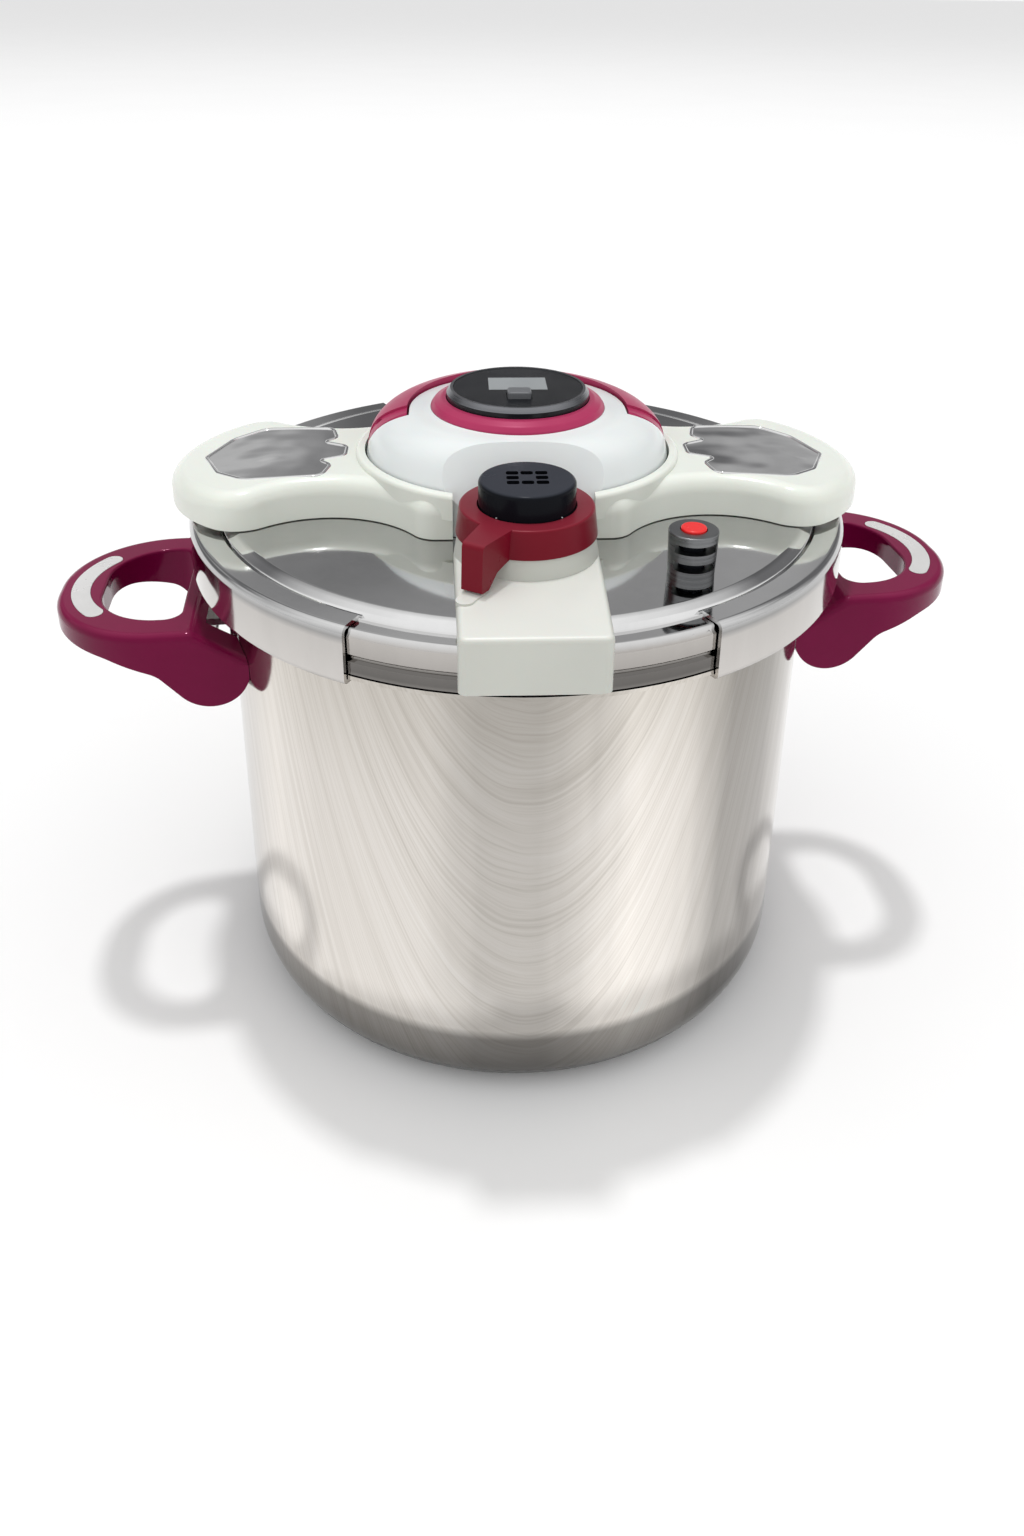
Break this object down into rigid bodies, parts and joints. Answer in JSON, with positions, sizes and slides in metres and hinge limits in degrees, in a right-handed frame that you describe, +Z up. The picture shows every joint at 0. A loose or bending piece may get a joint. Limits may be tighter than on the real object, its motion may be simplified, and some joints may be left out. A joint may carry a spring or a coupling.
{
  "type": "pressure canner",
  "caption": "Stovetop pressure canner: lidded pot with side handles, two sliding clamp jaws worked by a fold-down bail, pressure selector, pressure indicator and lift-off timer.",
  "frame": {"origin": "centre of the pot's base, on the worktop", "axes": "+Z up; X runs through the two pot handles; the valve housing faces -Y"},
  "size_m": [0.3774, 0.2665, 0.2596],
  "materials": {
    "handle_shell": "glossy raspberry",
    "handle_trim": "polished trim",
    "pot_steel": "polished stainless steel",
    "base_core": "satin grey metal, the core of the sandwich base",
    "hardware_steel": "plain steel",
    "valve_brass": "machined brass",
    "gasket_rubber": "matt rubber",
    "wing_plastic": "glossy ivory",
    "dome_plastic": "glossy cool white",
    "housing_plastic": "satin ivory",
    "crimson_plastic": "satin crimson",
    "black_plastic": "satin black",
    "timer_rim": "satin grey",
    "display": "grey liquid crystal",
    "button_grey": "satin grey",
    "red_pin": "glossy red"
  },
  "bodies": {
    "pot": {"pot_shell": "pot_steel", "base_plate": "base_core", "right_handle": "handle_shell", "left_handle": "handle_shell", "right_handle_inlay": "handle_trim", "left_handle_inlay": "handle_trim", "right_handle_bracket": "hardware_steel", "left_handle_bracket": "hardware_steel", "handle_screws": "hardware_steel"},
    "lid": {"lid_shell": "pot_steel", "lid_gasket": "gasket_rubber", "arm_guide": "black_plastic", "centre_bolt": "hardware_steel", "centre_nut": "hardware_steel", "jaw_springs": "hardware_steel", "dome_cover": "dome_plastic", "dome_screws": "hardware_steel", "timer_seat": "crimson_plastic", "bail_pins": "hardware_steel", "valve_housing": "housing_plastic", "housing_screws": "hardware_steel", "steam_conduit": "valve_brass", "conduit_nut": "hardware_steel", "indicator_body": "timer_rim", "indicator_core": "black_plastic", "indicator_nut": "hardware_steel", "safety_body": "valve_brass", "safety_nut": "hardware_steel", "safety_ball": "hardware_steel", "safety_spring": "hardware_steel"},
    "bail": {"bail_handle": "crimson_plastic"},
    "right_jaw": {"right_jaw": "pot_steel", "right_arm": "hardware_steel", "right_arm_rivets": "hardware_steel", "right_wing": "wing_plastic", "right_wing_inlay": "handle_trim", "right_wing_screws": "hardware_steel"},
    "left_jaw": {"left_jaw": "pot_steel", "left_arm": "hardware_steel", "left_arm_rivets": "hardware_steel", "left_wing": "wing_plastic", "left_wing_inlay": "handle_trim", "left_wing_screws": "hardware_steel"},
    "selector": {"selector_ring": "crimson_plastic"},
    "valve_cap": {"valve_cap": "black_plastic", "valve_weight": "valve_brass"},
    "indicator_pin": {"indicator_pin": "red_pin"},
    "timer": {"timer_case": "black_plastic", "timer_bezel": "timer_rim", "timer_face": "black_plastic", "timer_display": "display", "timer_board": "black_plastic", "timer_battery": "button_grey"},
    "timer_button": {"timer_button": "button_grey"}
  },
  "joints": [
    {"name": "lid_lift", "type": "slide", "parent": "pot", "child": "lid", "axis": [0, 0, 1], "range_m": [0, 0.15]},
    {"name": "bail_swing", "type": "hinge", "parent": "lid", "child": "bail", "pos_m": [0, 0, 0.242], "axis": [1, 0, 0], "range_deg": [0, 90]},
    {"name": "right_jaw_slide", "type": "slide", "parent": "lid", "child": "right_jaw", "axis": [1, 0, 0], "range_m": [0, 0.013]},
    {"name": "left_jaw_slide", "type": "slide", "parent": "lid", "child": "left_jaw", "axis": [-1, 0, 0], "range_m": [0, 0.013]},
    {"name": "selector_turn", "type": "hinge", "parent": "lid", "child": "selector", "pos_m": [0, -0.0725, 0.23], "axis": [0, 0, 1], "range_deg": [0, 60]},
    {"name": "valve_cap_lift", "type": "slide", "parent": "lid", "child": "valve_cap", "axis": [0, 0, 1], "range_m": [0, 0.02]},
    {"name": "indicator_rise", "type": "slide", "parent": "lid", "child": "indicator_pin", "axis": [0, 0, 1], "range_m": [0, 0.004]},
    {"name": "timer_lift", "type": "slide", "parent": "lid", "child": "timer", "axis": [0, 0, 1], "range_m": [0, 0.012]},
    {"name": "timer_press", "type": "slide", "parent": "timer", "child": "timer_button", "axis": [0, 0, -1], "range_m": [0, 0.0008], "stiffness_N_per_m": 300}
  ],
  "couplings": [
    {"joint": "right_jaw_slide", "follows": "bail_swing", "m_per_rad": 0.00827},
    {"joint": "left_jaw_slide", "follows": "bail_swing", "m_per_rad": 0.00827}
  ]
}
